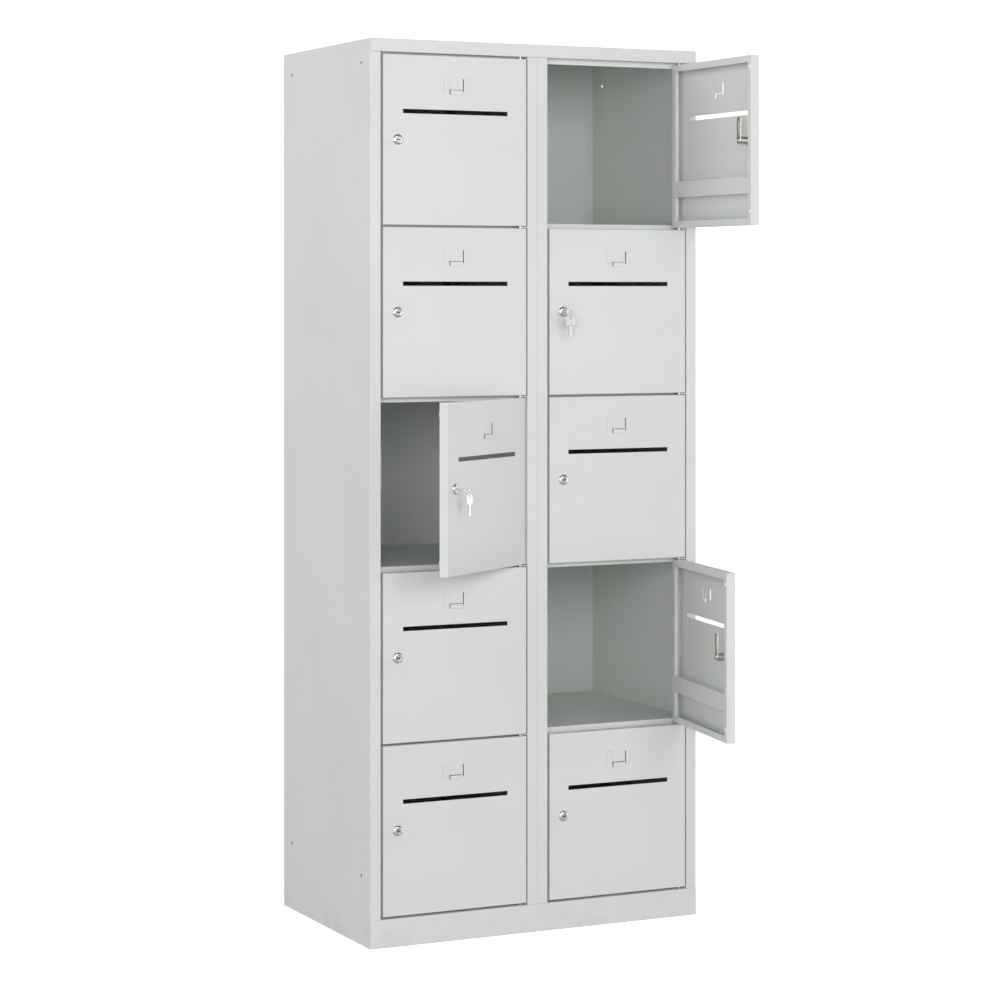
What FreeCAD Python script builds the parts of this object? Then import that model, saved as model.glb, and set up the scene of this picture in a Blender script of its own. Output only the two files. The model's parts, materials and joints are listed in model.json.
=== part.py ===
"""Parcel locker: two columns of five welded sheet-steel compartments, each with a hinged door.

Millimetres. The origin is the centre of the carcass footprint on the floor. +X is to the right seen from the
front, +Y is to the back and +Z is up. Doors are built closed, about their own pin, then turned to rest_angle.
"""

import FreeCAD, Part
import math
import os

# Carcass
width = 800.0
depth = 500.0
height = 1950.0
sheet = 1.0
bend = 0.5
plinth_height = 61.0
plinth_foot = 30.0
top_rail = 28.0
stile_width = 24.5
stop_clearance = 4.0
stop_reach = 10.0
stop_rise = 9.0
rear_fold = 15.0
rear_flange = 20.0
seam = 0.3
shelf_gap = 0.2
shelf_return = 10.0
shelf_rear = 15.0
columns = ("left", "right")
rows = 5

# Teeth of the strike edge behind the stile, beside each lock
tooth_radius = 2.75
tooth_pitch = 11.0
tooth_count = 8
tooth_start = -6.0

# Wall fixing holes in both side panels
fixing_radius = 3.4
fixing_inset = 50.0
fixing_low = 150.0
fixing_high = 1900.0

# Doors
door_gap = 5.0
lock_side_gap = 5.5
hinge_side_gap = 3.0
door_depth = 20.0
lip = 15.0
hinge_channel = 16.0
hinge_return = 8.0
stiffener_low = 68.0
stiffener_height = 37.0
slot_width = 250.0
slot_height = 9.5
slot_below_top = 121.5
clip_rise = 2.5
clip_half_gap = 18.5
clip_width = 10.5
clip_height = 28.0
clip_below_top = 48.5
foot_clip_width = 27.0
foot_clip_height = 10.0
foot_clip_below_top = 73.5
clip_round = 1.2
clip_slit = 1.0
rest_angle = {("left", 3): 35.0, ("right", 1): 90.5, ("right", 4): 80.5}

# Hinge pins and the ears that carry them
pin_radius = 2.0
pin_inset = 11.5
pin_depth = 8.0
pin_engagement = 9.0
pin_tail = 6.0
running_gap = 0.05
ear_thickness = 2.0
ear_radius = 6.0

# Cam locks
lock_from_edge = 34.5
barrel_radius = 9.5
barrel_flat_cut = 1.5
rim_overlap = 2.5
rim_height = 3.0
hole_gap = 0.1
nut_wall = 2.5
nut_thickness = 4.5
plug_radius = 6.0
plug_recess = 0.2
cam_clearance = 3.0
cam_gap = 0.3
cam_thickness = 3.0
cam_width = 16.0
cam_reach = 50.0
cam_corner = 3.0
square_end = 7.0
screw_head_radius = 5.0
screw_head_height = 2.5
screw_radius = 2.5
screw_length = 11.0
driver_slot = 1.2

# Keys, one in the lock and one spare on its ring
key_thickness = 2.0
blade_width = 8.0
blade_length = 27.0
blade_inserted = 19.0
key_gap = 0.15
key_end_gap = 1.0
bow_width = 22.0
bow_length = 22.5
bow_round = 7.0
bow_hole_radius = 3.0
bow_hole_inset = 5.5
ring_radius = 7.0
ring_wire = 0.6
ring_gap = 0.8
spare_gap = 0.2
keyed_doors = (("left", 3), ("right", 2))

# Derived sizes and places
front = -depth / 2
column_width = width / len(columns)
door_width = column_width - 2 * stile_width - lock_side_gap - hinge_side_gap
door_height = (height - plinth_height - top_rail - (rows + 1) * door_gap) / rows
door_pitch = door_height + door_gap
floor_top = plinth_height + door_gap / 2 + stop_rise
ceiling = height - top_rail - door_gap / 2 - stop_rise
inner_back = depth - sheet
stop_depth = door_depth + stop_clearance
frame_bottom = plinth_height + seam
frame_top = height - top_rail - seam
stop_back = stop_depth + sheet
hinge_edge = pin_inset
free_edge = pin_inset - door_width
door_middle = pin_inset - door_width / 2
door_face = -pin_depth
door_back = door_depth - pin_depth
lock_x = free_edge + lock_from_edge
lock_z = door_height / 2
cam_y = stop_depth + sheet + cam_clearance - pin_depth
rim_radius = barrel_radius + rim_overlap
barrel_flats = 2 * (barrel_radius - barrel_flat_cut)
nut_across_flats = 2 * (barrel_radius + nut_wall)
keyway_width = blade_width + 2 * key_gap
keyway_height = key_thickness + 2 * key_gap
keyway_depth = blade_inserted + key_end_gap
ring_drop = ring_radius - ring_wire - key_thickness / 2 - ring_gap
ring_out = math.sqrt(ring_radius**2 - ring_drop**2)
pin_column_x = column_width - stile_width - hinge_side_gap - pin_inset

vector = FreeCAD.Vector
axis_x = vector(1, 0, 0)
axis_y = vector(0, 1, 0)
axis_z = vector(0, 0, 1)


def box(low, high):
    """A box between two opposite corners."""
    size = [b - a for a, b in zip(low, high)]
    return Part.makeBox(*size, vector(*low))


def rod(radius, start, length, axis):
    return Part.makeCylinder(radius, length, vector(*start), axis)


def moved(shape, x, y, z):
    copy = shape.copy()
    copy.translate(vector(x, y, z))
    return copy


def clean_cut(shape, tools):
    return shape.cut(Part.makeCompound(tools)).removeSplitter()


def clean_fuse(shape, others):
    return shape.fuse(others).removeSplitter()


def rounded_outline(corners, place):
    """A closed wire through (a, b, radius) corners; each radius rounds its own right-angled corner."""
    edges = []
    starts = []
    ends = []
    for i, (a, b, radius) in enumerate(corners):
        before = corners[i - 1]
        after = corners[(i + 1) % len(corners)]
        into = vector(a - before[0], b - before[1], 0).normalize()
        out = vector(after[0] - a, after[1] - b, 0).normalize()
        corner = vector(a, b, 0)
        start = corner - into * radius
        end = corner + out * radius
        centre = corner - into * radius + out * radius
        starts.append(start)
        ends.append(end)
        if radius:
            middle = centre + (corner - centre).normalize() * radius
            edges.append((i + 0.5, Part.Arc(place(start), place(middle), place(end)).toShape()))
    for i, end in enumerate(ends):
        start = starts[(i + 1) % len(starts)]
        edges.append((i + 1.0, Part.LineSegment(place(end), place(start)).toShape()))
    edges.sort(key=lambda item: item[0])
    return Part.Wire([edge for order, edge in edges])


def folded_sheet(path, place, run):
    """A right-angled sheet-metal fold. path runs along one face and the metal lies on its left."""
    points = [vector(a, b, 0) for a, b in path]
    ways = [(b - a).normalize() for a, b in zip(points, points[1:])]
    lefts = [vector(-way.y, way.x, 0) for way in ways]
    near = [(points[0].x, points[0].y, 0.0)]
    start = points[0] + lefts[0] * sheet
    far = [(start.x, start.y, 0.0)]
    for i in range(1, len(points) - 1):
        turns_left = ways[i - 1].cross(ways[i]).z > 0
        inner, outer = bend, bend + sheet
        corner = points[i] + (lefts[i - 1] + lefts[i]) * sheet
        near.append((points[i].x, points[i].y, outer if turns_left else inner))
        far.append((corner.x, corner.y, inner if turns_left else outer))
    end = points[-1] + lefts[-1] * sheet
    near.append((points[-1].x, points[-1].y, 0.0))
    far.append((end.x, end.y, 0.0))
    wire = rounded_outline(near + far[::-1], place)
    return Part.Face(wire).extrude(run)


def plan(z):
    """Places a profile drawn as (x, depth behind the front)."""
    return lambda p: vector(p.x, front + p.y, z)


def section(x):
    """Places a profile drawn as (depth behind the front, height)."""
    return lambda p: vector(x, front + p.x, p.y)


def door_bottom(row):
    """Height of a door's lower edge; row 1 is the top row."""
    return plinth_height + door_gap + (rows - row) * door_pitch


def column_left(column):
    return -width / 2 + columns.index(column) * column_width


def stile(lock_side):
    """The folded front edge of an upright: face, return and, beside the locks, the strike flange."""
    back_to_front = [(0.0, stop_back + sheet), (0.0, 0.0), (stile_width, 0.0)]
    plain = folded_sheet(
        back_to_front + [(stile_width, stop_back)], plan(frame_bottom), axis_z * (frame_top - frame_bottom)
    )
    if not lock_side:
        return plain
    low = floor_top + seam
    flanged = folded_sheet(
        back_to_front + [(stile_width, stop_depth), (stile_width + stop_reach, stop_depth)],
        plan(low),
        axis_z * (ceiling - seam - low),
    )
    edge_x = stile_width + stop_reach
    teeth = [
        rod(tooth_radius, (edge_x, front + stop_depth, z), sheet, axis_y)
        for row in range(1, rows + 1)
        for z in tooth_heights(door_bottom(row) + lock_z)
    ]
    return clean_fuse(plain, [flanged] + teeth)


def tooth_heights(lock_height):
    return [lock_height + tooth_start + i * tooth_pitch for i in range(tooth_count)]


def side_panel(lock_side):
    """An outer side with its outer face at x = 0 and the cabinet on +X."""
    wall = box((0, front + sheet + seam, 0), (sheet, front + inner_back, height))
    fold_low = floor_top + seam
    fold_high = height - rear_flange - seam
    rear = folded_sheet(
        [(rear_fold, inner_back), (0.0, inner_back), (0.0, inner_back - rear_fold)],
        plan(fold_low),
        axis_z * (fold_high - fold_low),
    )
    corner = box(
        (-sheet, front + inner_back - bend - sheet, fold_low), (bend + sheet, front + depth, fold_high)
    )
    holes = [
        rod(fixing_radius, (-sheet, y, z), 3 * sheet, axis_x)
        for y in (front + fixing_inset, -front - fixing_inset)
        for z in (fixing_low, fixing_high)
    ]
    nose = box((-sheet, front - sheet, frame_bottom), (sheet * 2, front + stop_back, frame_top))
    wall = clean_cut(wall, [corner, nose] + holes)
    return clean_fuse(wall, [rear, stile(lock_side)])


def partition(lock_side):
    """One half of the middle upright; it stands on the floor sheet behind the frame."""
    web = box(
        (0, front + stop_back + seam, floor_top + seam),
        (sheet, front + inner_back - sheet - seam, height - sheet - seam),
    )
    neck_y = front + stop_back
    neck = box((0, neck_y - sheet, floor_top + seam), (sheet, neck_y + sheet, frame_top))
    front_edge = stile(lock_side)
    heel = [
        box((-sheet, front + stop_back, frame_bottom - seam), (sheet * 2, front + depth, floor_top + seam))
    ]
    return clean_fuse(clean_cut(front_edge, heel), [web, neck])


def stile_reliefs(low, high):
    """Boxes that keep the front lips of the floor and roof clear of the three uprights."""
    half = stile_width + seam
    spans = [(-width / 2 - sheet, -width / 2 + half), (-half, half), (width / 2 - half, width / 2 + sheet)]
    near = front + sheet + bend
    far = front + stop_back + seam
    return [box((a, near, low), (b, far, high)) for a, b in spans]


def end_reliefs(low, high):
    """Boxes that trim everything behind the front rail to the space between the side walls."""
    inner = width / 2 - sheet - shelf_gap
    near = front + sheet
    far = front + depth + sheet
    return [
        box((-width / 2 - sheet, near, low), (-inner, far, high)),
        box((inner, near, low), (width / 2 + sheet, far, high)),
    ]


def pin_holes(low, high):
    """One pin hole for each column, through the frame rail at that height."""
    return [
        rod(
            pin_radius + running_gap,
            (column_left(column) + pin_column_x, front + pin_depth, low),
            high - low,
            axis_z,
        )
        for column in columns
    ]


def top_panel():
    """The roof, folded down into the top rail and its stop lip."""
    path = [
        (inner_back, height - rear_flange),
        (inner_back, height),
        (0.0, height),
        (0.0, height - top_rail),
        (stop_depth, height - top_rail),
        (stop_depth, ceiling),
    ]
    shape = folded_sheet(path, section(-width / 2), axis_x * width)
    under = height - top_rail
    cuts = stile_reliefs(ceiling - sheet, under) + end_reliefs(ceiling - sheet, height + sheet)
    return clean_cut(shape, cuts + pin_holes(under - sheet, under + 2 * sheet))


def base_panel():
    """The floor sheet, its front plinth and the flange ring that stands on the ground."""
    path = [
        (inner_back, floor_top - rear_flange),
        (inner_back, floor_top),
        (stop_depth, floor_top),
        (stop_depth, plinth_height),
        (0.0, plinth_height),
        (0.0, 0.0),
        (plinth_foot, 0.0),
    ]
    shape = folded_sheet(path, section(-width / 2), axis_x * width)
    side = width / 2 - sheet - shelf_gap
    foot_ring = box((-side, front + plinth_foot - sheet, 0), (side, front + inner_back - seam, sheet)).cut(
        box(
            (plinth_foot - side, front + plinth_foot, -sheet),
            (side - plinth_foot, front + inner_back - plinth_foot, 2 * sheet),
        )
    )
    cuts = stile_reliefs(plinth_height, floor_top + sheet) + end_reliefs(-sheet, floor_top + sheet)
    shape = clean_fuse(shape, [foot_ring])
    return clean_cut(shape, cuts + pin_holes(plinth_height - 2 * sheet, plinth_height + sheet))


def back_panel():
    return box((-width / 2, front + inner_back, 0), (width / 2, front + depth, height))


def shelf(column, row):
    """The tray between this row and the row below it."""
    top = door_bottom(row) - door_gap / 2 + stop_rise
    face = stop_back + shelf_gap
    rear = inner_back - sheet - bend - seam
    path = [
        (rear, top - shelf_rear),
        (rear, top),
        (face, top),
        (face, top - 2 * stop_rise),
        (face + shelf_return, top - 2 * stop_rise),
    ]
    left = column_left(column) + sheet + shelf_gap
    return folded_sheet(path, section(left), axis_x * (column_width - 2 * sheet - 2 * shelf_gap))


def hinge_pivots():
    """Every hinge pin, and the ears welded to the stiles that carry the pins between two doors."""
    solids = []
    pin_y = front + pin_depth
    for column in columns:
        pin_x = column_left(column) + pin_column_x
        stile_x = column_left(column) + column_width - stile_width
        lowest = plinth_height - pin_tail
        solids.append(rod(pin_radius, (pin_x, pin_y, lowest), pin_tail + door_gap + pin_engagement, axis_z))
        highest = height - top_rail - door_gap - pin_engagement
        solids.append(rod(pin_radius, (pin_x, pin_y, highest), pin_tail + door_gap + pin_engagement, axis_z))
        for row in range(1, rows):
            low = door_bottom(row) - door_gap - pin_engagement
            solids.append(rod(pin_radius, (pin_x, pin_y, low), door_gap + 2 * pin_engagement, axis_z))
            ear_z = door_bottom(row) - (door_gap + ear_thickness) / 2
            round_end = rod(ear_radius, (pin_x, pin_y, ear_z), ear_thickness, axis_z)
            tongue = box(
                (pin_x, pin_y - ear_radius, ear_z), (stile_x, pin_y + ear_radius, ear_z + ear_thickness)
            )
            bore = rod(pin_radius + running_gap, (pin_x, pin_y, ear_z - sheet), 3 * ear_thickness, axis_z)
            solids.append(clean_cut(clean_fuse(round_end, [tongue]), [bore]))
    return Part.makeCompound(solids)


def long_edges(shape, planes):
    """The straight edges that lie in the given y planes of a box."""
    return [
        edge
        for edge in shape.Edges
        if any(all(abs(v.Point.y - y) < 1e-6 for v in edge.Vertexes) for y in planes)
    ]


def clip(low_x, high_x, low_z, high_z, open_sides):
    """A label clip lanced out of the sheet; returns its shell and the window behind it."""
    top = door_face - clip_rise
    block = box((low_x, top, low_z), (high_x, door_face + sheet / 2, high_z))
    open_left, open_right, open_up = [side in open_sides for side in ("left", "right", "up")]
    edges = [
        edge
        for edge in long_edges(block, [top])
        if not (open_left and all(abs(v.Point.x - low_x) < 1e-6 for v in edge.Vertexes))
        and not (open_right and all(abs(v.Point.x - high_x) < 1e-6 for v in edge.Vertexes))
        and not (open_up and all(abs(v.Point.z - high_z) < 1e-6 for v in edge.Vertexes))
    ]
    shell = block.makeFillet(clip_round, edges)
    left, right, up = [sheet + clip_slit if is_open else 0.0 for is_open in (open_left, open_right, open_up)]
    window = box(
        (low_x + sheet - left, top + sheet, low_z + sheet),
        (high_x - sheet + right, door_face + 2 * sheet, high_z - sheet + up),
    )
    return shell.cut(window), window


def label_clips():
    """The two upright clips and the lower one that hold a name card."""
    clip_top = door_height - clip_below_top
    foot_top = door_height - foot_clip_below_top
    outer = clip_half_gap + clip_width
    low = clip_top - clip_height
    left = clip(door_middle - outer, door_middle - clip_half_gap, low, clip_top, ["right"])
    right = clip(door_middle + clip_half_gap, door_middle + outer, low, clip_top, ["left"])
    half = foot_clip_width / 2
    foot_low = foot_top - foot_clip_height
    foot = clip(door_middle - half, door_middle + half, foot_low, foot_top, ["left", "right", "up"])
    return [left, right, foot]


def barrel_section(radius, flats, start, length):
    """A round bar with two flats, along +Y at the lock."""
    bar = rod(radius, (lock_x, start, lock_z), length, axis_y)
    half = flats / 2
    return bar.common(
        box((lock_x - radius, start, lock_z - half), (lock_x + radius, start + length, lock_z + half))
    )


def door_pan():
    """A closed door: a folded pan with lips all round and a channel along the hinge edge."""
    outer = box((free_edge, door_face, 0), (hinge_edge, door_back, door_height))
    outer = outer.makeFillet(bend + sheet, long_edges(outer, [door_face, door_back]))
    cavity = box(
        (free_edge + sheet, door_face + sheet, sheet),
        (hinge_edge - sheet, door_back - sheet, door_height - sheet),
    )
    cavity = cavity.makeFillet(bend, long_edges(cavity, [door_face + sheet, door_back - sheet]))
    window = box(
        (free_edge + lip, door_back - 2 * sheet, lip),
        (hinge_edge - hinge_channel, door_back + sheet, door_height - lip),
    )
    slot_low = door_height - slot_below_top - slot_height / 2
    slot = box(
        (door_middle - slot_width / 2, door_face - sheet, slot_low),
        (door_middle + slot_width / 2, door_face + 2 * sheet, slot_low + slot_height),
    )
    lock_hole = barrel_section(
        barrel_radius + hole_gap, barrel_flats + 2 * hole_gap, door_face - sheet, 3 * sheet
    )
    hinge_holes = [
        rod(pin_radius + running_gap, (0, 0, z), 3 * sheet, axis_z)
        for z in (-sheet, door_height - 2 * sheet)
    ]
    clips = label_clips()
    pan = outer.cut(Part.makeCompound([cavity, window, slot, lock_hole] + hinge_holes))
    pan = pan.cut([hole for shell, hole in clips])
    channel_return = box(
        (hinge_edge - hinge_channel, door_back - hinge_return, sheet / 2),
        (hinge_edge - hinge_channel + sheet, door_back, door_height - sheet / 2),
    )
    return clean_fuse(pan, [channel_return] + [shell for shell, hole in clips])


def stiffener():
    """The U rib across the inside of a door, flush with the lips."""
    reach = door_back - (door_face + sheet)
    path = [
        (-reach, stiffener_low),
        (0.0, stiffener_low),
        (0.0, stiffener_low + stiffener_height),
        (-reach, stiffener_low + stiffener_height),
    ]
    start = free_edge + lip
    return folded_sheet(
        path, lambda p: vector(start, door_back + p.x, p.y), axis_x * (hinge_edge - hinge_channel - start)
    )


def lock_body():
    """The fixed barrel with its domed rim, and the nut that clamps it to the door."""
    rear = cam_y - cam_gap
    barrel = barrel_section(barrel_radius, barrel_flats, door_face - sheet, rear - door_face + sheet)
    rim = rod(rim_radius, (lock_x, door_face - rim_height, lock_z), rim_height, axis_y)
    front_edge = [edge for edge in long_edges(rim, [door_face - rim_height]) if edge.Length > rim_radius]
    rim = rim.makeFillet(rim_height / 2, front_edge)
    bore = rod(
        plug_radius + running_gap, (lock_x, door_face - 2 * rim_height, lock_z), rear + door_depth, axis_y
    )
    barrel = clean_cut(clean_fuse(rim, [barrel]), [bore])
    corner = nut_across_flats / math.sqrt(3)
    nut_y = door_face + sheet
    turns = [math.radians(60 * i) for i in range(7)]
    ring = [vector(lock_x + corner * math.cos(t), nut_y, lock_z + corner * math.sin(t)) for t in turns]
    nut = Part.Face(Part.makePolygon(ring)).extrude(axis_y * nut_thickness)
    bore_start = (lock_x, nut_y - sheet, lock_z)
    nut = nut.cut(rod(barrel_radius + hole_gap / 2, bore_start, nut_thickness + 2 * sheet, axis_y))
    return Part.makeCompound([barrel, nut])


def cam():
    """What a key turns: the plug, the locking cam on its square end and the screw that holds it."""
    plug_face = door_face - rim_height + plug_recess
    plug = rod(plug_radius, (lock_x, plug_face, lock_z), cam_y - plug_face, axis_y)
    half = square_end / 2
    square = box(
        (lock_x - half, cam_y - sheet, lock_z - half),
        (lock_x + half, cam_y + cam_thickness, lock_z + half),
    )
    keyway = box(
        (lock_x - keyway_width / 2, plug_face - sheet, lock_z - keyway_height / 2),
        (lock_x + keyway_width / 2, plug_face + keyway_depth, lock_z + keyway_height / 2),
    )
    screw_end = cam_y + cam_thickness - screw_length
    screw_hole = rod(screw_radius + running_gap, (lock_x, screw_end - sheet, lock_z), door_depth, axis_y)
    plug = clean_cut(clean_fuse(plug, [square]), [keyway, screw_hole])

    side = cam_width / 2
    outline = rounded_outline(
        [
            (lock_x - side, lock_z - side, side - running_gap),
            (lock_x + side, lock_z - side, side - running_gap),
            (lock_x + side, lock_z + cam_reach, cam_corner),
            (lock_x - side, lock_z + cam_reach, cam_corner),
        ],
        lambda p: vector(p.x, cam_y, p.y),
    )
    plate = Part.Face(outline).extrude(axis_y * cam_thickness)
    window = half + running_gap
    plate = plate.cut(
        box(
            (lock_x - window, cam_y - sheet, lock_z - window),
            (lock_x + window, cam_y + 2 * cam_thickness, lock_z + window),
        )
    )

    head_y = cam_y + cam_thickness
    head = rod(screw_head_radius, (lock_x, head_y, lock_z), screw_head_height, axis_y)
    head_edges = long_edges(head, [head_y + screw_head_height])
    rim_edge = [edge for edge in head_edges if edge.Length > screw_head_radius]
    head = head.makeFillet(screw_head_height / 3, rim_edge)
    slot = box(
        (lock_x - screw_head_radius, head_y + screw_head_height / 2, lock_z - driver_slot / 2),
        (lock_x + screw_head_radius, head_y + 2 * screw_head_height, lock_z + driver_slot / 2),
    )
    shank = rod(screw_radius, (lock_x, screw_end, lock_z), screw_length, axis_y)
    screw = clean_fuse(head.cut(slot), [shank])
    return Part.makeCompound([plug, plate, screw])


def flat_key():
    """A key lying in the XY plane: the bow runs along -Y from the origin and the blade along +Y."""
    half = bow_width / 2
    outline = rounded_outline(
        [
            (-half, 0.0, bow_round / 2),
            (-half, -bow_length, bow_round),
            (half, -bow_length, bow_round),
            (half, 0.0, bow_round / 2),
        ],
        lambda p: vector(p.x, p.y, -key_thickness / 2),
    )
    bow = Part.Face(outline).extrude(axis_z * key_thickness)
    tip = blade_width / 2
    edge = [
        vector(-tip, -sheet, -key_thickness / 2),
        vector(-tip, blade_length - tip, -key_thickness / 2),
        vector(0, blade_length, -key_thickness / 2),
        vector(tip, blade_length - tip, -key_thickness / 2),
        vector(tip, -sheet, -key_thickness / 2),
        vector(-tip, -sheet, -key_thickness / 2),
    ]
    blade = Part.Face(Part.makePolygon(edge)).extrude(axis_z * key_thickness)
    hole = rod(bow_hole_radius, (0, bow_hole_inset - bow_length, -key_thickness), 2 * key_thickness, axis_z)
    return clean_cut(clean_fuse(bow, [blade]), [hole])


def key_shoulder():
    """Where the bow of an inserted key starts, in front of the plug."""
    return door_face - rim_height + plug_recess - (blade_length - blade_inserted)


def key_and_ring():
    """The key in the lock, its bow level, and the wire ring through the bow."""
    key = moved(flat_key(), lock_x, key_shoulder(), lock_z)
    hole_y = key_shoulder() - bow_length + bow_hole_inset
    centre = vector(lock_x, hole_y - ring_out, lock_z - ring_drop)
    ring = Part.makeTorus(ring_radius, ring_wire, centre, axis_x)
    return Part.makeCompound([key, ring])


def spare_key():
    """The second key, hanging flat to the door from the bottom of the ring."""
    key = flat_key()
    key.rotate(vector(0, 0, 0), axis_x, -90)
    hole_y = key_shoulder() - bow_length + bow_hole_inset
    wire_top = lock_z - ring_drop - ring_radius + ring_wire
    hole_z = wire_top + spare_gap - bow_hole_radius
    return moved(key, lock_x, hole_y - ring_out, hole_z - (bow_length - bow_hole_inset))


def hung(shape, column, row):
    """Takes a piece of a closed door from the pin axis to its place and turns it to its rest angle."""
    copy = shape.copy()
    copy.rotate(vector(0, 0, 0), axis_z, rest_angle.get((column, row), 0.0))
    return moved(copy, column_left(column) + pin_column_x, front + pin_depth, door_bottom(row))


def mirrored(shape):
    return shape.mirror(vector(0, 0, 0), axis_x)


def write(name, shape):
    shape.exportStep(os.path.join("parts", name + ".step"))


def build_carcass():
    write("left_side_panel", moved(side_panel(True), -width / 2, 0, 0))
    write("right_side_panel", moved(mirrored(side_panel(False)), width / 2, 0, 0))
    write("partition_left", mirrored(partition(False)))
    write("partition_right", partition(True))
    write("top_panel", top_panel())
    write("base_panel", base_panel())
    write("back_panel", back_panel())
    write("hinge_pivots", hinge_pivots())
    for column in columns:
        for row in range(1, rows):
            write(f"shelf_{column}_{row}", shelf(column, row))


def build_doors():
    pieces = {"door": door_pan(), "stiffener": stiffener(), "lock": lock_body(), "cam": cam()}
    for column in columns:
        for row in range(1, rows + 1):
            for name, shape in pieces.items():
                write(f"{name}_{column}_{row}", hung(shape, column, row))
    for column, row in keyed_doors:
        write(f"key_{column}_{row}", hung(key_and_ring(), column, row))
        write(f"spare_key_{column}_{row}", hung(spare_key(), column, row))


os.makedirs("parts", exist_ok=True)
build_carcass()
build_doors()
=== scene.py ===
import json
import math
import random

import bmesh
import bpy
from mathutils import Euler, Matrix, Vector


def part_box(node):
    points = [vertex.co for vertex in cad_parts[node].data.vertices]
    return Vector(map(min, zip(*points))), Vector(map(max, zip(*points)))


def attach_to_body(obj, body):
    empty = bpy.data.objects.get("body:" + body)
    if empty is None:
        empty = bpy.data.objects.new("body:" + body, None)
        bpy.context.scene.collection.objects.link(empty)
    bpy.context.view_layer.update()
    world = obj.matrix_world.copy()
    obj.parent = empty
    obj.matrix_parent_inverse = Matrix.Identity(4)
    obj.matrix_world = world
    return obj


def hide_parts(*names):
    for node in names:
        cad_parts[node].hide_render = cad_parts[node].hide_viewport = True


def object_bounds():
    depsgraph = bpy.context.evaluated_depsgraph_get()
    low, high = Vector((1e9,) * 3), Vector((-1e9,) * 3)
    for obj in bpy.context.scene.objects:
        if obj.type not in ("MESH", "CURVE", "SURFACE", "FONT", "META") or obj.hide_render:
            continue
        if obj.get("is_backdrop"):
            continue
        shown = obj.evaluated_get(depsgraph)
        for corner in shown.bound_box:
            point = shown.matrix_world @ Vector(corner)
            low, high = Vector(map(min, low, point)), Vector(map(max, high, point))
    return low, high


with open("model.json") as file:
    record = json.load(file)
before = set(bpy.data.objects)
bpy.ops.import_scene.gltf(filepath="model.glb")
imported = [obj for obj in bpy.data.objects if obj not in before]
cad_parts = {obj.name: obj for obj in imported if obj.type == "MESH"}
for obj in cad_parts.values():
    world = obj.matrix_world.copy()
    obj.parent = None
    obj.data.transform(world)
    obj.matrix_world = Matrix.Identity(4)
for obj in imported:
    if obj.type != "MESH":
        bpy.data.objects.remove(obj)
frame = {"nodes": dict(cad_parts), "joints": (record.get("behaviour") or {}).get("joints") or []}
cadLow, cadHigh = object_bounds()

scene = bpy.context.scene
nodes = frame["nodes"]
joints = {joint["name"]: joint for joint in frame["joints"]}
columns = ("left", "right")
rows = range(1, 6)
doorSpots = [(column, row) for column in columns for row in rows]
keyedDoors = (("left", 3), ("right", 2))
metre = 1000.0  # the shapes below are in millimetres until they are put in place
seam = 0.002  # points nearer to each other than this are one point


# sockets and node trees

class Wire:
    # a socket in a node tree; sums and products of it add their Math nodes
    def __init__(self, bench, socket):
        self.bench = bench
        self.socket = socket

    def math(self, operation, *others):
        sockets = dict(enumerate((self, *others)))
        return self.bench.node("ShaderNodeMath", {"operation": operation}, sockets)

    def __add__(self, other):
        return self.math("ADD", other)

    def __radd__(self, other):
        return self.math("ADD", other)

    def __sub__(self, other):
        return self.math("SUBTRACT", other)

    def __rsub__(self, other):
        return self.bench.node("ShaderNodeMath", {"operation": "SUBTRACT"}, {0: other, 1: self})

    def __mul__(self, other):
        return self.math("MULTIPLY", other)

    def __rmul__(self, other):
        return self.math("MULTIPLY", other)

    def __truediv__(self, other):
        return self.math("DIVIDE", other)

    def size(self):
        return self.math("ABSOLUTE")

    def larger(self, other):
        return self.math("MAXIMUM", other)

    def smaller(self, other):
        return self.math("MINIMUM", other)

    def above(self, other):
        return self.math("GREATER_THAN", other)

    def root(self):
        return self.math("SQRT")

    def ease(self, low, high):
        # 0 at low and 1 at high, with a soft start and end
        ends = {"Value": self, "From Min": low, "From Max": high}
        return self.bench.node("ShaderNodeMapRange", {"interpolation_type": "SMOOTHSTEP"}, ends)


class Bench:
    # a node tree that is built one node at a time
    def __init__(self, tree):
        self.tree = tree

    def node(self, kind, settings=None, sockets=None, output=0):
        node = self.tree.nodes.new(kind)
        for key, value in (settings or {}).items():
            setattr(node, key, value)
        for key, value in (sockets or {}).items():
            if isinstance(value, Wire):
                self.tree.links.new(value.socket, node.inputs[key])
            else:
                node.inputs[key].default_value = value
        return Wire(self, node.outputs[output])


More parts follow.
